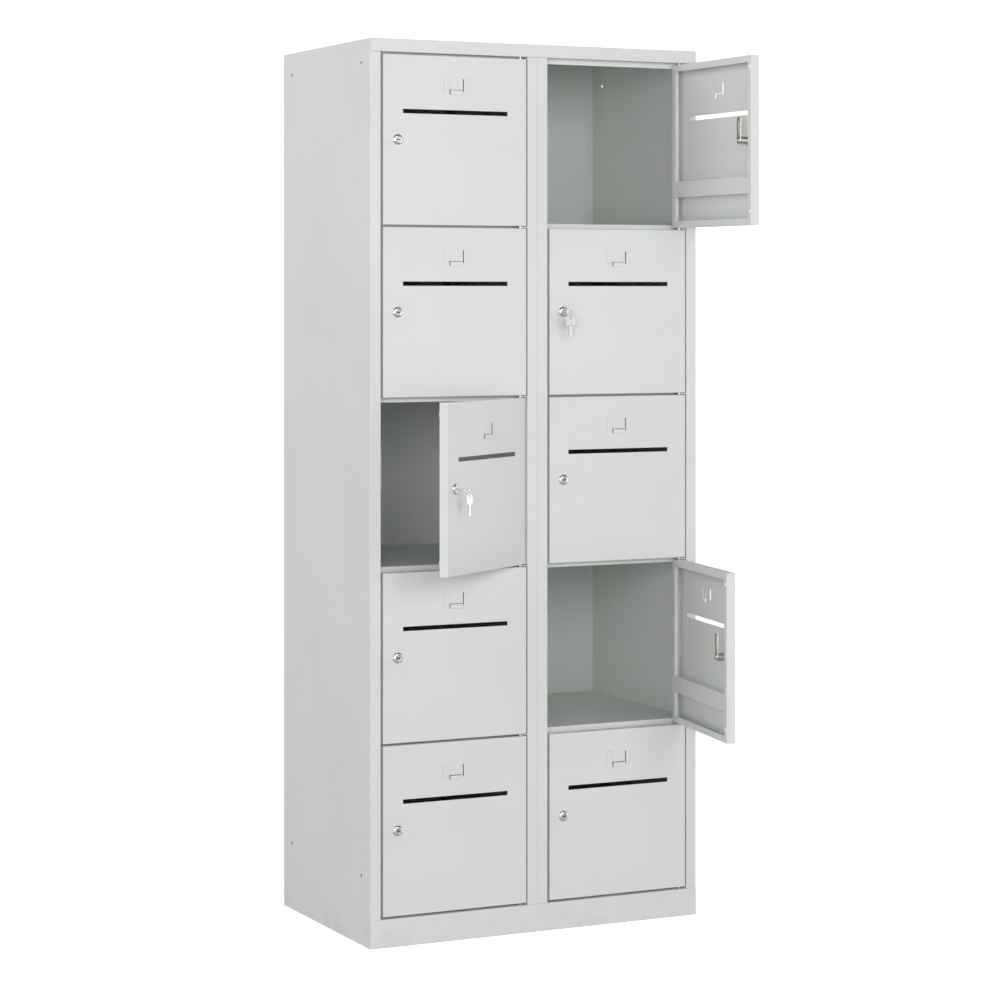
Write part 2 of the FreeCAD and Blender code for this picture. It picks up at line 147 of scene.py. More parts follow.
class Finish(Bench):
    # a material; its patterns read the piece's Object coordinates, measured from home where given
    def __init__(self, name, home=None):
        self.material = bpy.data.materials.new(name)
        self.material.use_nodes = True
        super().__init__(self.material.node_tree)
        self.tree.nodes.clear()
        self.where = self.node("ShaderNodeTexCoord", output="Object")
        if home is not None:
            self.where = self.node("ShaderNodeMapping", {"vector_type": "TEXTURE"}, {
                "Vector": self.where,
                "Location": home.to_translation(),
                "Rotation": Euler((0, 0, home.to_euler().z)),
            })

    def axis(self, number):
        # how far along one axis, in millimetres
        return self.node("ShaderNodeSeparateXYZ", None, {0: self.where}, number) * metre

    def noise(self, scale, detail=2.0, where=None):
        sockets = {"Vector": where or self.where, "Scale": scale, "Detail": detail}
        return self.node("ShaderNodeTexNoise", None, sockets)

    def stretched(self, x, y, z):
        sockets = {0: self.where, 1: (x, y, z)}
        return self.node("ShaderNodeVectorMath", {"operation": "MULTIPLY"}, sockets)

    def tint(self, factor, first, second):
        # first where the factor is 0, second where it is 1
        first = first if isinstance(first, Wire) else (*first, 1.0)
        second = second if isinstance(second, Wire) else (*second, 1.0)
        settings = {"data_type": "RGBA", "clamp_factor": True}
        return self.node("ShaderNodeMix", settings, {0: factor, 6: first, 7: second}, 2)

    def bump(self, height, distance):
        return self.node("ShaderNodeBump", None, {"Height": height, "Distance": distance})

    def surface(self, sockets):
        shader = self.node("ShaderNodeBsdfPrincipled", None, sockets)
        end = self.tree.nodes.new("ShaderNodeOutputMaterial")
        self.tree.links.new(shader.socket, end.inputs["Surface"])
        return self.material


class Growth(Bench):
    # a Geometry Nodes tree with named inputs; grow() leaves its result as a plain mesh
    def __init__(self, name):
        super().__init__(bpy.data.node_groups.new(name, "GeometryNodeTree"))
        self.keys = {}
        for way in ("INPUT", "OUTPUT"):
            self.tree.interface.new_socket(
                "Geometry", in_out=way, socket_type="NodeSocketGeometry"
            )
        self.start = self.tree.nodes.new("NodeGroupInput")

    def size(self, name, kind="Float"):
        # a named input; grow() is given a value for every one of them
        kind = "NodeSocket" + kind
        socket = self.tree.interface.new_socket(name, in_out="INPUT", socket_type=kind)
        self.keys[name] = socket.identifier
        return Wire(self, self.start.outputs[name])

    def finish(self, geometry, material):
        solid = self.node("GeometryNodeRealizeInstances", None, {0: geometry})
        sockets = {"Geometry": solid, "Material": material}
        painted = self.node("GeometryNodeSetMaterial", None, sockets)
        end = self.tree.nodes.new("NodeGroupOutput")
        self.tree.links.new(painted.socket, end.inputs[0])

    def grow(self, values):
        holder = bpy.data.objects.new("growing", bpy.data.meshes.new("growing"))
        scene.collection.objects.link(holder)
        modifier = holder.modifiers.new("growing", "NODES")
        modifier.node_group = self.tree
        for name, value in values.items():
            modifier[self.keys[name]] = value
        grown = holder.evaluated_get(bpy.context.evaluated_depsgraph_get())
        mesh = bpy.data.meshes.new_from_object(grown)
        holder.modifiers.remove(modifier)
        bpy.data.objects.remove(holder)
        return mesh


# where each door hangs: its own frame starts at the hinge pin and the door's lower edge

def hingePlace(column, row):
    joint = joints[f"door_{column}_{row}_hinge"]
    angle = -math.radians(joint["range_deg"][0])
    return Matrix.Translation(joint["pos_m"]) @ Matrix.Rotation(angle, 4, "Z")


def title(kind, column, row):
    return f"{kind}{column.title()}{row}"


closedLow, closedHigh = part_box("door_left_1")
pinLeft = hingePlace("left", 1).to_translation()
door = {
    "hingeEdge": (closedHigh.x - pinLeft.x) * metre,
    "freeEdge": (closedLow.x - pinLeft.x) * metre,
    "height": (closedHigh.z - closedLow.z) * metre,
    "back": (closedHigh.y - pinLeft.y) * metre,
    "slotBelowTop": 121.5,
    "slotWidth": 250.0,
}
door["middle"] = (door["hingeEdge"] + door["freeEdge"]) / 2
lockAxis = hingePlace("left", 1).inverted() @ Vector(joints["cam_left_1_turn"]["pos_m"]) * metre
print("frame loaded,", len(nodes), "nodes")


# powder coat; a pair gives where a mark starts and where it is full. The lighter line along each
# fold is a painted highlight

coat = {
    "color": (0.704, 0.722, 0.701),
    # the light tone is the painted highlight along folds, and also the colour of scratches
    "light": (0.735, 0.755, 0.735),
    "grime": (0.52, 0.52, 0.49),
    "speck": (0.63, 0.65, 0.63),
    "roughness": 0.46,
    "cloudRough": 0.08,
    "patchRough": 0.06,
    "handPolish": 0.07,
    "wornRough": 0.08,
    "scratchRough": 0.08,
    "specular": 0.45,
    "cloudScale": 3.1,
    "patchScale": 24.0,
    "grainScale": 1500.0,
    "peelScale": 430.0,
    "peelHeight": 0.000016,
    "scratchStretch": (9.0, 9.0, 620.0),
    "clouds": (0.3, 0.7),
    "touchPatches": (0.3, 0.75),
    "wornPatches": (0.42, 0.72),
    "scratchPatches": (0.42, 0.6),
    "scratches": (0.66, 0.74),
    "cloudStrength": 0.35,
    "grainStrength": 0.25,
    # how strongly the painted highlight lightens each fold
    "foldHighlightStrength": 0.4,
    "handStrength": 0.16,
    "wornStrength": 0.3,
    "scratchStrength": 0.22,
    "grainRelief": 0.25,
    "scratchRelief": 0.3,
    # edge is the width of the painted highlight along a fold
    "edge": 1.2,  # width of the lighter line along a fold
    "handAtLock": (62.0, 16.0),
    "handAtSlot": (13.0, 5.0),
    "pastSlot": 6.0,
    "insideSlot": 12.0,
    "rubAtLock": (16.0, 12.5),
    "rubAtEdge": 16.0,
    "rubSoft": 14.0,
    "rubStrength": 0.35,
    "floorLine": (4.0, 0.0),
    "lowEnd": (95.0, 8.0),
    "lowStrength": 0.8,
    "dustDepth": 1.5,
    "dustStrength": 0.6,
}


def coatLayers(finish, foldHighlight, touched, worn):
    # one coat for doors and carcass, given masks for the painted highlight along its folds, where
    # hands touch and things rub
    cloud = finish.noise(coat["cloudScale"], 3.0)
    patch = finish.noise(coat["patchScale"], 4.0)
    grain = finish.noise(coat["grainScale"], 1.0)
    peel = finish.noise(coat["peelScale"], 2.0)
    scratch = finish.noise(1.0, 2.0, finish.stretched(*coat["scratchStretch"]))
    scratch = scratch.ease(*coat["scratches"]) * patch.ease(*coat["scratchPatches"])
    mottle = cloud.ease(*coat["clouds"]) * coat["cloudStrength"] + grain * coat["grainStrength"]
    color = finish.tint(mottle, coat["color"], coat["speck"])
    # painted highlight: each fold's line is lightened as if its bend caught the light
    color = finish.tint(foldHighlight * coat["foldHighlightStrength"], color, coat["light"])
    byHand = touched * patch.ease(*coat["touchPatches"]) * coat["handStrength"]
    color = finish.tint(byHand, color, coat["grime"])
    rubbed = worn * patch.ease(*coat["wornPatches"]) * coat["wornStrength"]
    color = finish.tint(rubbed, color, coat["grime"])
    color = finish.tint(scratch * coat["scratchStrength"], color, coat["light"])
    rough = coat["roughness"] + (cloud - 0.5) * coat["cloudRough"]
    rough = rough + (patch - 0.5) * coat["patchRough"] - touched * coat["handPolish"]
    rough = rough + worn * coat["wornRough"] + scratch * coat["scratchRough"]
    height = peel + grain * coat["grainRelief"] - scratch * coat["scratchRelief"]
    return finish.surface({
        "Base Color": color,
        "Roughness": rough,
        "Specular IOR Level": coat["specular"],
        "Normal": finish.bump(height, coat["peelHeight"]),
    })


def doorCoat(column, row):
    finish = Finish(title("doorCoat", column, row), hingePlace(column, row))
    across, up = finish.axis(0), finish.axis(2)
    offMiddle = (across - door["middle"]).size()
    # painted highlight along the door's outline
    fromSide = offMiddle - ((door["hingeEdge"] - door["freeEdge"]) / 2 - coat["edge"])
    fromEnd = (up - door["height"] / 2).size() - (door["height"] / 2 - coat["edge"])
    foldHighlight = fromSide.larger(fromEnd).ease(0.0, coat["edge"])
    aside = across - lockAxis.x
    level = up - lockAxis.z
    fromLock = (aside * aside + level * level).root()
    slotEnd = door["slotWidth"] / 2
    alongSlot = offMiddle.ease(slotEnd + coat["pastSlot"], slotEnd - coat["insideSlot"])
    fromSlot = (up - (door["height"] - door["slotBelowTop"])).size()
    atSlot = fromSlot.ease(*coat["handAtSlot"]) * alongSlot
    byHand = fromLock.ease(*coat["handAtLock"]).larger(atSlot)
    atEdge = (door["freeEdge"] + coat["rubAtEdge"] - across).ease(0.0, coat["rubSoft"])
    worn = fromLock.ease(*coat["rubAtLock"]) + atEdge * coat["rubStrength"]
    return coatLayers(finish, foldHighlight, byHand, worn)


def carcassCoat():
    finish = Finish("carcassCoat")
    across, deep, up = [finish.axis(number) for number in range(3)]
    side = cadHigh.x * metre
    front = cadLow.y * metre
    top = cadHigh.z * metre
    # painted highlight along the cabinet's outer corners and top edges
    sideFoldHighlight = (across.size() - side + coat["edge"]).ease(0.0, coat["edge"])
    frontFoldHighlight = (front - deep + coat["edge"]).ease(0.0, coat["edge"])
    topFoldHighlight = (up - top + coat["edge"]).ease(0.0, coat["edge"])
    foldHighlight = (sideFoldHighlight * frontFoldHighlight).larger(topFoldHighlight * sideFoldHighlight.larger(frontFoldHighlight))
    low = up.ease(*coat["lowEnd"])
    dust = (up - top + coat["dustDepth"]).ease(0.0, 1.0)
    worn = low * coat["lowStrength"] + dust * coat["dustStrength"]
    return coatLayers(finish, foldHighlight, up.size().ease(*coat["floorLine"]), worn)


carcass = carcassCoat()
ownFinish = ("door_", "stiffener_", "lock_", "cam_", "key_", "spare_", "hinge_")
for name, node in nodes.items():
    node.data.materials.clear()
    if not name.startswith(ownFinish):
        node.data.materials.append(carcass)
for column, row in doorSpots:
    paint = doorCoat(column, row)
    for kind in ("door", "stiffener"):
        nodes[f"{kind}_{column}_{row}"].data.materials.append(paint)
print("powder coat on the carcass and", len(doorSpots), "doors")


# metals

def metalFinish(name, look):
    finish = Finish(name)
    smear = finish.noise(look["smearScale"], 3.0)
    hair = finish.noise(1.0, 2.0, finish.stretched(*look["hair"]))
    pit = finish.noise(look["pitScale"], 1.0)
    stain = smear.ease(0.35, 0.7) * look["stain"]
    color = finish.tint(stain, look["color"], look["stained"])
    rough = look["roughness"] + (smear - 0.5) * look["uneven"] + (hair - 0.5) * look["brushing"]
    height = hair * 0.6 + pit * 0.4  # more of the hairlines than of the pits
    return finish.surface({
        "Base Color": color,
        "Metallic": 1.0,
        "Roughness": rough,
        "Normal": finish.bump(height, look["relief"]),
    })


metalLooks = {
    "chrome": {
        "color": (0.80, 0.775, 0.765), "stained": (0.62, 0.59, 0.58), "stain": 0.35,
        "roughness": 0.09, "uneven": 0.08, "brushing": 0.03, "smearScale": 260.0,
        "hair": (900, 900, 2600), "pitScale": 2600.0, "relief": 0.0000012,
    },
    "castZinc": {
        "color": (0.56, 0.56, 0.565), "stained": (0.40, 0.40, 0.41), "stain": 0.6,
        "roughness": 0.36, "uneven": 0.16, "brushing": 0.10, "smearScale": 340.0,
        "hair": (1400, 1400, 1400), "pitScale": 2100.0, "relief": 0.000006,
    },
    "platedSteel": {
        "color": (0.80, 0.765, 0.72), "stained": (0.66, 0.62, 0.57), "stain": 0.4,
        "roughness": 0.3, "uneven": 0.10, "brushing": 0.10, "smearScale": 190.0,
        "hair": (2400, 2400, 160), "pitScale": 1700.0, "relief": 0.000002,
    },
    "plugNickel": {
        "color": (0.52, 0.49, 0.48), "stained": (0.42, 0.39, 0.38), "stain": 0.5,
        "roughness": 0.24, "uneven": 0.12, "brushing": 0.08, "smearScale": 300.0,
        "hair": (2600, 2600, 900), "pitScale": 2600.0, "relief": 0.000002,
    },
    # painted shade: near-black metal standing in for the shade deep in the keyway
    "keywayGrease": {
        "color": (0.07, 0.065, 0.06), "stained": (0.03, 0.03, 0.028), "stain": 0.8,
        "roughness": 0.5, "uneven": 0.2, "brushing": 0.1, "smearScale": 500.0,
        "hair": (900, 900, 900), "pitScale": 1800.0, "relief": 0.000008,
    },
    "keyNickel": {
        "color": (0.70, 0.70, 0.685), "stained": (0.58, 0.58, 0.56), "stain": 0.4,
        "roughness": 0.24, "uneven": 0.12, "brushing": 0.10, "smearScale": 230.0,
        "hair": (260, 2800, 2800), "pitScale": 1900.0, "relief": 0.000003,
    },
    "pinZinc": {
        "color": (0.66, 0.665, 0.67), "stained": (0.50, 0.505, 0.51), "stain": 0.7,
        "roughness": 0.33, "uneven": 0.18, "brushing": 0.08, "smearScale": 420.0,
        "hair": (1800, 1800, 300), "pitScale": 1500.0, "relief": 0.000005,
    },
}
metals = {name: metalFinish(name, look) for name, look in metalLooks.items()}
nodes["hinge_pivots"].data.materials.append(metals["pinZinc"])
print("metals ready")


# making solid pieces from rings of points, and putting them on their bodies

def turns(count):
    return [2 * math.pi * turn / count for turn in range(count)]


def outlineRing(reach, depth, sides):
    # reach(angle) gives the distance of the outline from the axis
    return [
        Vector((reach(angle) * math.cos(angle), depth, reach(angle) * math.sin(angle)))
        for angle in turns(sides)
    ]


def circle(radius, depth, sides):
    return outlineRing(lambda angle: radius, depth, sides)


def boxReach(halfWidth, halfHeight):
    # the outline of a box, for outlineRing
    def reach(angle):
        return min(
            halfWidth / max(abs(math.cos(angle)), 1e-9),
            halfHeight / max(abs(math.sin(angle)), 1e-9),
        )
    return reach


def loft(solid, rings, hollow=False):
    # joins each ring to the next; a hollow loft meets its own start, another is capped
    loops = [[solid.verts.new(point) for point in ring] for ring in rings]
    pairs = list(zip(loops, loops[1:]))
    if hollow:
        pairs.append((loops[-1], loops[0]))
    for first, second in pairs:
        for near in range(len(first)):
            far = (near + 1) % len(first)
            solid.faces.new((first[near], first[far], second[far], second[near]))
    if not hollow:
        solid.faces.new(loops[0])
        solid.faces.new(loops[-1])


def inset(points, distance):
    # a closed outline of (x, z) points moved inwards; the outline runs anticlockwise
    moved = []
    for index, (x, z) in enumerate(points):
        before = points[index - 1]
        after = points[(index + 1) % len(points)]
        along = Vector((after[0] - before[0], after[1] - before[1])).normalized()
        moved.append((x - along.y * distance, z + along.x * distance))
    return moved


def layered(points, layers):
    # the outline once for each (depth, inset) layer
    return [[Vector((x, depth, z)) for x, z in inset(points, back)] for depth, back in layers]


def roundedPlate(solid, points, near, far, rounding):
    # a plate between two depths with its edges rounded
    part = rounding * 0.3
    layers = [(near, rounding), (near + part, part), (near + rounding, 0.0)]
    layers += [(far - rounding, 0.0), (far - part, part), (far, rounding)]
    loft(solid, layered(points, layers))


def cornered(corners, steps=7):
    # rounds each (x, z, radius) corner of an anticlockwise outline
    points = []
    for index, (x, z, radius) in enumerate(corners):
        here = Vector((x, z))
        before = (Vector(corners[index - 1][:2]) - here).normalized()
        after = (Vector(corners[(index + 1) % len(corners)][:2]) - here).normalized()
        spread = before.angle(after)
        centre = here + (before + after).normalized() * (radius / math.sin(spread / 2))
        first = here + before * (radius / math.tan(spread / 2)) - centre
        turn = math.pi - spread
        for step in range(steps + 1):
            swing = Matrix.Rotation(turn * step / steps, 2)
            points.append(tuple(centre + swing @ first))
    return points


def attach(
    solid, kind, material, column, row, body, slot=None, stands=None, middle=None, sharp=35
):
    # closes the shape, moves it from its middle to its door and puts it on its body;
    # it stands for a CAD node where one is named
    bmesh.ops.remove_doubles(solid, verts=solid.verts, dist=seam)
    bmesh.ops.recalc_face_normals(solid, faces=solid.faces)
    middle = lockAxis if middle is None else middle
    move = hingePlace(column, row) @ Matrix.Scale(1 / metre, 4) @ Matrix.Translation(middle)
    bmesh.ops.transform(solid, matrix=move, verts=solid.verts)
    name = title(kind, column, row)
    mesh = bpy.data.meshes.new(name)
    solid.to_mesh(mesh)
    solid.free()
    mesh.materials.clear()
    mesh.materials.append(material)
    mesh.shade_smooth()
    mesh.set_sharp_from_angle(angle=math.radians(sharp))
    piece = bpy.data.objects.new(name, mesh)
    scene.collection.objects.link(piece)
    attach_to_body(piece, body)
    if stands:
        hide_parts(stands)
    return piece


def grownSolid(growth, values):
    solid = bmesh.new()
    mesh = growth.grow(values)
    solid.from_mesh(mesh)
    bpy.data.meshes.remove(mesh)
    return solid


# the cam lock: domed rim, threaded barrel with two flats, six-sided nut, plug, cam and its screw

lock = {
    "sides": 64,
    # radius and depth, from the plug over the dome and down to the door
    "rimProfile": (
        (6.08, -8.0), (6.08, -10.4), (6.3, -10.75), (6.7, -10.95), (7.1, -11.0),
        (7.6, -10.97), (8.3, -10.8), (9.1, -10.48), (9.9, -10.05), (10.6, -9.55),
        (11.2, -9.0), (11.65, -8.45), (11.8, -8.2), (11.8, -8.0),
    ),
    "barrelRadius": 9.5,
    "barrelFlat": 8.0,
    "barrelBore": 6.05,
    "barrelFront": -8.0,
    "barrelBack": 19.7,
    "threadPitch": 1.25,
    "threadDepth": 0.55,
    "threadRunOut": 0.12,
    "threadSteps": 110,
    "barrelSides": 48,
    "nutAcross": 24.0,
    "nutSides": 72,
    "nutChamfer": 0.965,  # where the chamfer starts, as a share of the half width
    "nutChamferTurn": 28.0,
    "nutNear": -7.0,
    "nutFar": -2.5,
    "nutBore": 9.55,
    "nutMouth": 0.5,
    "plugRadius": 6.0,
    "plugFace": -10.8,
    "plugBack": 20.0,
    # how far in from the plug's edge and how far below its face
    "plugRings": ((1.4, 0.0), (1.25, 0.12), (0.95, 0.12), (0.8, 0.0), (0.3, 0.0), (0.05, 0.25)),
    "keyway": (4.15, 1.15),
    "keywayFlare": 0.25,
    "keywayChamfer": 0.3,
    "keywayDepth": 20.0,
}


def threadGrowth():
    # a tube whose wall goes round and back through its own bore; the outer wall carries the thread.
    # Row 0 of the grid and its last two rows lie on the bore, the rows between on the outer wall
    growth = Growth("barrelThread")
    radius = growth.size("Radius")
    flat = growth.size("Flat")
    bore = growth.size("Bore")
    length = growth.size("Length")
    pitch = growth.size("Pitch")
    depth = growth.size("Depth")
    runOut = growth.size("Run Out")
    steps = growth.size("Steps", "Int")
    sides = growth.size("Sides", "Int")
    sheet = growth.node("GeometryNodeMeshGrid", None, {
        "Size X": 1.0, "Size Y": 1.0, "Vertices X": sides + 1.0, "Vertices Y": steps + 4.0,
    })
    here = growth.node("GeometryNodeInputPosition")
    across, up = [growth.node("ShaderNodeSeparateXYZ", None, {0: here}, axis) for axis in (0, 1)]
    angle = (across + 0.5) * (2 * math.pi)
    step = (up + 0.5) * (steps + 3.0)
    outer = step.above(0.5) * (steps + 1.5 - step).above(0.0)
    along = ((step - 1.0) / steps).larger(0.0).smaller(1.0) * (steps + 2.5 - step).above(0.0)
    phase = along * length / pitch - angle / (2 * math.pi)
    cut = phase.math("PINGPONG", 0.5) * 2.0 * depth * along.ease(0.0, runOut)
    reach = bore + outer * (radius - cut - bore)
    side = reach * angle.math("COSINE")
    rise = (reach * angle.math("SINE")).smaller(flat).larger(flat * -1.0)
    spot = growth.node("ShaderNodeCombineXYZ", None, {0: side, 1: along * length, 2: rise})
    tube = growth.node("GeometryNodeSetPosition", None, {"Geometry": sheet, "Position": spot})
    sockets = {"Geometry": tube, "Distance": seam / 2}
    closed = growth.node("GeometryNodeMergeByDistance", None, sockets)
    growth.finish(closed, metals["castZinc"])
    return growth


barrelThread = threadGrowth()


def makeLock(column, row):
    lockNode = f"lock_{column}_{row}"
    spot = (column, row, f"door_{column}_{row}", "lock_chrome", lockNode)
    rim = bmesh.new()
    rings = [circle(radius, depth, lock["sides"]) for radius, depth in lock["rimProfile"]]
    loft(rim, rings, hollow=True)
    attach(rim, "lockRim", metals["chrome"], *spot)

    barrel = grownSolid(barrelThread, {
        "Radius": lock["barrelRadius"],
        "Flat": lock["barrelFlat"],
        "Bore": lock["barrelBore"],
        "Length": lock["barrelBack"] - lock["barrelFront"],
        "Pitch": lock["threadPitch"],
        "Depth": lock["threadDepth"],
        "Run Out": lock["threadRunOut"],
        "Steps": lock["threadSteps"],
        "Sides": lock["barrelSides"],
    })
    bmesh.ops.translate(barrel, vec=(0, lock["barrelFront"], 0), verts=barrel.verts)
    near, far, sides = lock["nutNear"], lock["nutFar"], lock["nutSides"]
    flat = lock["nutAcross"] / 2
    chamferStart = flat * lock["nutChamfer"]

    def hexReach(angle):
        return flat / math.cos((angle % (math.pi / 3)) - math.pi / 6)

    def chamfered(depth, sign):
        ring = []
        for point in outlineRing(hexReach, 0.0, sides):
            past = Vector((point.x, point.z)).length - chamferStart
            fall = past * math.tan(math.radians(lock["nutChamferTurn"]))
            ring.append(Vector((point.x, depth + sign * fall, point.z)))
        return ring

    loft(barrel, [
        circle(lock["nutBore"], near, sides),
        circle(chamferStart, near, sides),
        chamfered(near, 1),
        chamfered(far, -1),
        circle(chamferStart, far, sides),
        circle(lock["nutBore"] + lock["nutMouth"], far, sides),
        circle(lock["nutBore"], far - lock["nutMouth"], sides),
    ], hollow=True)
    attach(barrel, "lockBarrel", metals["castZinc"], *spot)


def makePlug(column, row):
    sides = lock["sides"]
    camNode = f"cam_{column}_{row}"
    halfWidth, halfHeight = lock["keyway"]
    mouth = boxReach(halfWidth, halfHeight)
    flare = boxReach(halfWidth + lock["keywayFlare"], halfHeight + lock["keywayFlare"])
    front, radius = lock["plugFace"], lock["plugRadius"]
    plug = bmesh.new()
    loft(plug, [
        outlineRing(mouth, front + lock["keywayDepth"], sides),
        outlineRing(mouth, front + lock["keywayChamfer"], sides),
        outlineRing(flare, front, sides),
        *(circle(radius - back, front + fall, sides) for back, fall in lock["plugRings"]),
        circle(radius - lock["plugRings"][-1][0], lock["plugBack"], sides),
    ])
    plug.normal_update()
    # the keyway's walls take the second material, the painted-shade metal
    for face in plug.faces:
        middle = face.calc_center_median()
        inKeyway = abs(middle.x) < halfWidth + 0.1 and abs(middle.z) < halfHeight + 0.1
        face.material_index = int(inKeyway and front + 0.2 < middle.y < lock["plugBack"] - 1)
    piece = attach(
        plug, "lockPlug", metals["plugNickel"], column, row, camNode, "lock_steel", camNode
    )
    piece.data.materials.append(metals["keywayGrease"])


cam = {
    "near": 20.0,
    "far": 23.0,
    "halfWidth": 8.0,
    "roundEnd": 0.97,  # share of the half width
    "reach": 50.0,
    "corner": 3.0,
    "rounding": 0.45,
    "sharp": 16,
    "beadLow": 12.0,
    "beadHigh": 43.0,
    "beadHalf": 2.6,
    "beadCorner": 2.55,
    # rise above the plate and inset of the bead's layers
    "beadLayers": ((-0.3, 0.0), (0.0, 0.0), (0.35, 0.35), (0.6, 0.95), (0.7, 1.7)),
    "screwRadius": 5.0,
    "screwRise": 2.5,
    "screwSides": 48,
    # how far in from the screw's edge and how far above the plate
    "screwRings": ((0.0, -0.4), (0.0, 0.9), (0.15, 1.4), (0.5, 1.9)),
    "screwCrown": (0.6, -0.12),  # how far in from the screw's edge, and below its top
    "driver": (4.3, 0.6),
    "driverFlare": 0.12,
    "driverMouth": 0.15,
    "driverDepth": 1.3,
}


def makeCam(column, row):
    camNode = f"cam_{column}_{row}"
    spot = (column, row, camNode, "lock_steel", camNode)
    half, reach, far = cam["halfWidth"], cam["reach"], cam["far"]
    roundEnd = half * cam["roundEnd"]
    outline = cornered([
        (-half, -half, roundEnd), (half, -half, roundEnd),
        (half, reach, cam["corner"]), (-half, reach, cam["corner"]),
    ], steps=10)
    plate = bmesh.new()
    roundedPlate(plate, outline, cam["near"], far, cam["rounding"])
    side, corner = cam["beadHalf"], cam["beadCorner"]
    bead = cornered([
        (-side, cam["beadLow"], corner), (side, cam["beadLow"], corner),
        (side, cam["beadHigh"], corner), (-side, cam["beadHigh"], corner),
    ], steps=8)
    loft(plate, layered(bead, [(far + rise, back) for rise, back in cam["beadLayers"]]))
    attach(plate, "camPlate", metals["platedSteel"], *spot, sharp=cam["sharp"])

    screw = bmesh.new()
    radius, sides = cam["screwRadius"], cam["screwSides"]
    top = far + cam["screwRise"]
    slot = boxReach(*cam["driver"])
    flare = boxReach(*(width + cam["driverFlare"] for width in cam["driver"]))
    loft(screw, [
        *(circle(radius - back, far + rise, sides) for back, rise in cam["screwRings"]),
        circle(radius - cam["screwCrown"][0], top + cam["screwCrown"][1], sides),
        outlineRing(flare, top, sides),
        outlineRing(slot, top - cam["driverMouth"], sides),
        outlineRing(slot, top - cam["driverDepth"], sides),
    ])
    attach(screw, "camScrew", metals["pinZinc"], *spot)


for column, row in doorSpots:
    makeLock(column, row)
    makePlug(column, row)
    makeCam(column, row)
print("locks, plugs, cams and screws made")


# soft buffers on the free edge's lip

buffer = {
    "color": (0.86, 0.86, 0.84),
    "bloomed": (0.79, 0.79, 0.76),
    "roughness": 0.55,
    "bloomScale": 700.0,
    "grainScale": 2400.0,
    "grainHeight": 0.00002,
    "count": 2,
    "radius": 4.0,
    "rise": 3.3,
    "dome": 1.5,
    "fromFreeEdge": 5.7,
    "fromLow": 30.0,
    "fromHigh": 25.0,
}


def bufferFinish():
    finish = Finish("bufferRubber")
    bloom = finish.noise(buffer["bloomScale"], 3.0)
    color = finish.tint(bloom.ease(0.3, 0.7), buffer["color"], buffer["bloomed"])
    return finish.surface({
        "Base Color": color,
        "Roughness": buffer["roughness"] + (bloom - 0.5) * 0.2,
        "Normal": finish.bump(finish.noise(buffer["grainScale"], 2.0), buffer["grainHeight"]),
    })


def studGrowth(name, material):
    # low round studs at even steps along a line, each with its crown eased down to its edge
    growth = Growth(name)
    start = growth.size("Start", "Vector")
    step = growth.size("Step", "Vector")
    count = growth.size("Count", "Int")
    radius = growth.size("Radius")
    rise = growth.size("Rise")
    dome = growth.size("Dome")
    line = growth.node("GeometryNodeMeshLine", None, {
        "Count": count, "Start Location": start, "Offset": step,
    })
    disc = growth.node("GeometryNodeMeshCylinder", None, {
        "Vertices": 24, "Side Segments": 2, "Fill Segments": 4, "Radius": radius, "Depth": rise,
    })
    here = growth.node("GeometryNodeInputPosition")
    x, y, z = [growth.node("ShaderNodeSeparateXYZ", None, {0: here}, axis) for axis in range(3)]
    out = (x * x + y * y).root() / radius
    lowered = z - dome * out * out * z.above(rise * 0.2)
    spot = growth.node("ShaderNodeCombineXYZ", None, {0: x, 1: y, 2: lowered})
    crowned = growth.node("GeometryNodeSetPosition", None, {"Geometry": disc, "Position": spot})
    facing = growth.node("GeometryNodeTransform", None, {
        "Geometry": crowned, "Rotation": Euler((-math.pi / 2, 0, 0)),
    })
    sockets = {"Points": line, "Instance": facing}
    studs = growth.node("GeometryNodeInstanceOnPoints", None, sockets)
    growth.finish(studs, material)
    return growth


bufferRubber = bufferFinish()
bufferStuds = studGrowth("bufferStuds", bufferRubber)
for column, row in doorSpots:
    across = door["freeEdge"] + buffer["fromFreeEdge"]
    pair = grownSolid(bufferStuds, {
        "Start": (across, door["back"] + buffer["rise"] / 2, buffer["fromLow"]),
        "Step": (0.0, 0.0, door["height"] - buffer["fromHigh"] - buffer["fromLow"]),
        "Count": buffer["count"],
        "Radius": buffer["radius"],
        "Rise": buffer["rise"],
        "Dome": buffer["dome"],
    })
    body = f"door_{column}_{row}"
    attach(pair, "buffers", bufferRubber, column, row, body, middle=Vector())
print("buffers made")


# keys: one in the lock, one on the ring

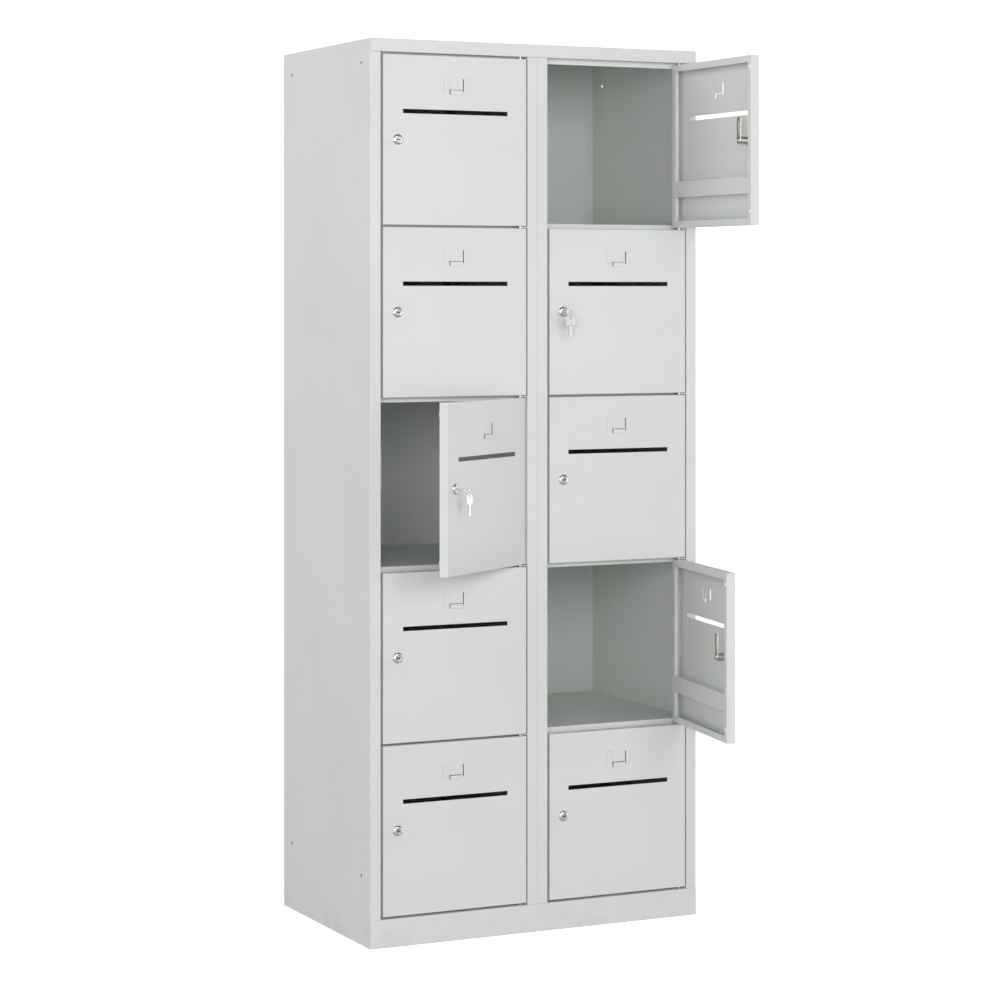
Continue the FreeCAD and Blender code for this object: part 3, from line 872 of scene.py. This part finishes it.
key = {
    "thickness": 2.0,
    "bladeLength": 27.0,
    "bladeInserted": 19.0,
    "bowWidth": 22.0,
    "bowLength": 22.5,
    "bowRound": 7.0,
    "holeRadius": 3.0,
    "holeInset": 5.5,
    "rimWidth": 2.0,
    "bowStep": 0.8,
    "bowSunk": 0.6,
    "eyeWidth": 1.3,
    "edge": 0.18,
    "thinEdge": 0.1,
    "sunkEdge": 0.05,
    "sharp": 14,
    "bladeHalf": 4.0,
    "bladeSunk": 0.8,
    "bladeRoot": -1.0,  # the blade starts inside the bow
    "tipHalf": 0.6,
    "tipSlope": 0.4,
    "spineInner": 1.3,
    "spineShort": 2.2,
    "toothedInner": 0.2,
    "toothedShort": 0.9,
    "cuts": 7,
    "cutRoot": 3.6,  # the toothed edge is straight up to here
    "cutStart": 4.8,
    "cutPitch": 2.5,
    "cutFlat": 0.8,
    "cutPeak": (0.25, 1.65),  # how far in, and how far along from the cut
    "cutDepths": (0.5, 0.9, 1.3, 1.7),
    "cutSeed": 11,
    "ringRadius": 7.0,
    "ringWire": 0.6,
    "ringDrop": 4.6,
    "ringOut": 5.28,
    "ringTurns": 2.0,
    "ringPitch": 2.04,  # wires of rise over the whole coil
    "spareGap": 0.2,
}
key["shoulder"] = lock["plugFace"] - (key["bladeLength"] - key["bladeInserted"])
key["hole"] = key["shoulder"] - key["bowLength"] + key["holeInset"]


def flatPlate(solid, outlines, thickness, edge):
    # a flat plate with holes: the first outline is its edge, any others are cut out of it
    curve = bpy.data.curves.new("plate", "CURVE")
    curve.dimensions = "2D"
    curve.fill_mode = "BOTH"
    curve.extrude = thickness / 2 - edge
    curve.bevel_depth = edge
    curve.bevel_resolution = 1
    curve.offset = -edge
    for points in outlines:
        spline = curve.splines.new("POLY")
        spline.points.add(len(points) - 1)
        for point, (x, y) in zip(spline.points, points):
            point.co = (x, y, 0.0, 1.0)
        spline.use_cyclic_u = True
    holder = bpy.data.objects.new("plate", curve)
    scene.collection.objects.link(holder)
    drawn = holder.evaluated_get(bpy.context.evaluated_depsgraph_get())
    mesh = bpy.data.meshes.new_from_object(drawn)
    bpy.data.objects.remove(holder)
    solid.from_mesh(mesh)
    bpy.data.meshes.remove(mesh)


def roundHole(radius, y):
    return [(radius * math.cos(turn), y + radius * math.sin(turn)) for turn in turns(32)]


def flatKey():
    # the bow runs from the shoulder towards -Y and the blade towards +Y
    solid = bmesh.new()
    half, length, thickness = key["bowWidth"] / 2, key["bowLength"], key["thickness"]
    corner = key["bowRound"]
    bow = cornered([
        (-half, -length, corner), (half, -length, corner),
        (half, 0.0, corner / 2), (-half, 0.0, corner / 2),
    ], steps=8)
    holeY = key["holeInset"] - length
    hole = roundHole(key["holeRadius"], holeY)
    eye = roundHole(key["holeRadius"] + key["eyeWidth"], holeY)
    flatPlate(solid, [bow, inset(bow, key["rimWidth"])], thickness, key["edge"])
    flatPlate(solid, [eye, hole], thickness, key["edge"])
    sunk = thickness - key["bowSunk"]
    flatPlate(solid, [inset(bow, key["bowStep"]), hole], sunk, key["sunkEdge"])
    side, root, tip = key["bladeHalf"], key["bladeRoot"], key["bladeLength"]
    draw = random.Random(key["cutSeed"])
    cutEdge = [(side, root), (side, key["cutRoot"])]
    for cut in range(key["cuts"]):
        y = key["cutStart"] + key["cutPitch"] * cut
        depth = draw.choice(key["cutDepths"])
        cutEdge += [(side - depth, y), (side - depth, y + key["cutFlat"])]
        cutEdge.append((side - key["cutPeak"][0], y + key["cutPeak"][1]))
    cutEdge = [point for point in cutEdge if point[1] < tip - side - 0.2]
    cutEdge.append((side - key["tipSlope"], tip - side))
    point = key["tipHalf"]
    web = [(-side, root), *cutEdge, (point, tip), (-point, tip), (-side, tip - side)]
    flatPlate(solid, [web], thickness - key["bladeSunk"], key["thinEdge"])
    inner = -key["spineInner"]
    spine = [
        (-side, root), (inner, root), (inner, tip - key["spineShort"]), (-side, tip - side - 0.3),
    ]
    flatPlate(solid, [spine], thickness, key["edge"])
    inner, end = key["toothedInner"], tip - key["toothedShort"]
    toothed = [(inner, root), *cutEdge, (key["toothedShort"], end), (inner, end)]
    flatPlate(solid, [toothed], thickness, key["thinEdge"])
    return solid


def ringGrowth():
    growth = Growth("splitRing")
    radius = growth.size("Radius")
    wire = growth.size("Wire")
    coilTurns = growth.size("Turns")
    coil = growth.node("GeometryNodeCurveSpiral", None, {
        "Resolution": 40, "Rotations": coilTurns, "Start Radius": radius, "End Radius": radius,
        "Height": wire * key["ringPitch"],
    })
    section = growth.node("GeometryNodeCurvePrimitiveCircle", None, {
        "Resolution": 10, "Radius": wire,
    })
    wound = growth.node("GeometryNodeCurveToMesh", None, {
        "Curve": coil, "Profile Curve": section, "Fill Caps": True,
    })
    growth.finish(wound, metals["keyNickel"])
    return growth


def makeKeys(column, row):
    nickel = metals["keyNickel"]
    keyNode = f"key_{column}_{row}"
    spareNode = f"spare_key_{column}_{row}"
    shoulder = lockAxis + Vector((0, key["shoulder"], 0))
    attach(
        flatKey(), "key", nickel, column, row, keyNode, "key_nickel", keyNode, shoulder,
        key["sharp"],
    )

    hanging = flatKey()
    upright = Matrix.Rotation(-math.pi / 2, 4, "X")
    bmesh.ops.transform(hanging, matrix=upright, verts=hanging.verts)
    ringY = key["hole"] - key["ringOut"]
    wireTop = -key["ringDrop"] - key["ringRadius"] + key["ringWire"]
    holeZ = wireTop + key["spareGap"] - key["holeRadius"]
    hangSpot = lockAxis + Vector((0, ringY, holeZ - (key["bowLength"] - key["holeInset"])))
    attach(
        hanging, "spareKey", nickel, column, row, spareNode, "key_nickel", spareNode, hangSpot,
        key["sharp"],
    )

    wire = key["ringWire"] / 2
    ring = grownSolid(splitRing, {
        "Radius": key["ringRadius"], "Wire": wire, "Turns": key["ringTurns"],
    })
    turned = Matrix.Rotation(math.pi / 2, 4, "Y") @ Matrix.Translation((0, 0, -wire))
    bmesh.ops.transform(ring, matrix=turned, verts=ring.verts)
    ringSpot = lockAxis + Vector((0, ringY, -key["ringDrop"]))
    attach(ring, "splitRing", nickel, column, row, keyNode, "key_nickel", middle=ringSpot)


splitRing = ringGrowth()
for column, row in keyedDoors:
    makeKeys(column, row)
print("keys and rings made")


# studio: a white floor and backdrop, soft light from the front, both sides and above

studio = {
    "skyHigh": 0.15,
    "skyMid": 1.03,
    "skyDown": 0.41,
    "belowHorizon": (-0.45, -0.1),
    "aboveHorizon": (0.1, 0.55),
    "floorGlow": 0.97,
    "floorShade": 0.6,
    "backdropGlow": 1.2,
    "backdrop": 25.0,
    "diffuseBounces": 12,
    "mostBounces": 16,
    "boxes": {
        "softboxFront": {
            "at": (0.5, -5.0, 2.4), "to": (0.0, 0.0, 1.0), "size": (1.6, 1.6), "power": 50.0,
        },
        "softboxNear": {
            "at": (-1.3, -4.6, 2.2), "to": (0.0, 0.0, 1.0), "size": (1.6, 1.6), "power": 29.0,
        },
        "softboxLeft": {
            "at": (-3.0, -4.4, 1.7), "to": (0.0, 0.0, 1.1), "size": (1.2, 1.6), "power": 44.0,
        },
        "softboxRight": {
            "at": (4.7, 0.1, 0.9), "to": (-0.2, -0.4, 0.9), "size": (1.6, 1.6), "power": 9.0,
        },
        "softboxHigh": {
            "at": (-3.6, 0.6, 4.0), "to": (0.0, 0.0, 1.3), "size": (2.5, 2.5), "power": 50.0,
        },
    },
}


def glowFinish(name, glow, shade):
    finish = Finish(name)
    darker = shade * 0.98
    tone = finish.tint(finish.noise(0.8, 2.0), (shade,) * 3, (darker,) * 3)
    return finish.surface({
        "Base Color": tone,
        "Roughness": 0.9,
        "Specular IOR Level": 0.0,
        "Emission Color": (1.0, 1.0, 1.0, 1.0),
        "Emission Strength": glow,
    })


def staged(name, solid, material):
    # the camera sees it, and it neither lights nor shades the locker
    mesh = bpy.data.meshes.new(name)
    solid.to_mesh(mesh)
    solid.free()
    mesh.materials.append(material)
    mesh.shade_smooth()
    prop = bpy.data.objects.new(name, mesh)
    scene.collection.objects.link(prop)
    for ray in ("visible_diffuse", "visible_glossy", "visible_transmission", "visible_shadow"):
        setattr(prop, ray, False)
    prop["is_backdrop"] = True


floorWhite = glowFinish("floorWhite", studio["floorGlow"], studio["floorShade"])
ground = bmesh.new()
bmesh.ops.create_grid(ground, x_segments=1, y_segments=1, size=studio["backdrop"])
staged("floor", ground, floorWhite)
backdropWhite = glowFinish("backdropWhite", studio["backdropGlow"], 0.0)
backdrop = bmesh.new()
bmesh.ops.create_icosphere(backdrop, subdivisions=4, radius=studio["backdrop"])
bmesh.ops.reverse_faces(backdrop, faces=backdrop.faces)
staged("backdrop", backdrop, backdropWhite)

world = bpy.data.worlds.new("studio")
scene.world = world
world.use_nodes = True
sky = Bench(world.node_tree)
world.node_tree.nodes.clear()
ahead = sky.node("ShaderNodeTexCoord", output="Generated")
height = sky.node("ShaderNodeSeparateXYZ", None, {0: ahead}, 2)
low = height.ease(*studio["belowHorizon"])
high = height.ease(*studio["aboveHorizon"])
level = studio["skyDown"] + (studio["skyMid"] - studio["skyDown"]) * low
level = level + (studio["skyHigh"] - studio["skyMid"]) * high
background = sky.node("ShaderNodeBackground", None, {"Color": (1, 1, 1, 1), "Strength": level})
end = world.node_tree.nodes.new("ShaderNodeOutputWorld")
world.node_tree.links.new(background.socket, end.inputs["Surface"])
for name, box in studio["boxes"].items():
    lamp = bpy.data.lights.new(name, "AREA")
    lamp.shape = "RECTANGLE"
    lamp.size, lamp.size_y = box["size"]
    lamp.energy = box["power"]
    holder = bpy.data.objects.new(name, lamp)
    scene.collection.objects.link(holder)
    holder.location = box["at"]
    aim = Vector(box["to"]) - Vector(box["at"])
    holder.rotation_euler = aim.to_track_quat("-Z", "Y").to_euler()
    holder.visible_camera = False
scene.view_settings.view_transform = "Standard"
scene.cycles.diffuse_bounces = studio["diffuseBounces"]
scene.cycles.max_bounces = studio["mostBounces"]
print("studio lit")


view = {
    "at": (-2.8294, -5.8845, 1.4042),
    "turn": -25.912,
    "lens": 103.24,
    "rise": -0.207,
    "sensor": 36,
    "farEnd": 100,
}
camera = bpy.data.objects.new("camera", bpy.data.cameras.new("camera"))
scene.collection.objects.link(camera)
camera.location = view["at"]
camera.rotation_euler = (math.radians(90), 0, math.radians(view["turn"]))
camera.data.sensor_width = view["sensor"]
camera.data.lens = view["lens"]
camera.data.shift_y = view["rise"]
camera.data.clip_end = view["farEnd"]
scene.camera = camera

low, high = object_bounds()
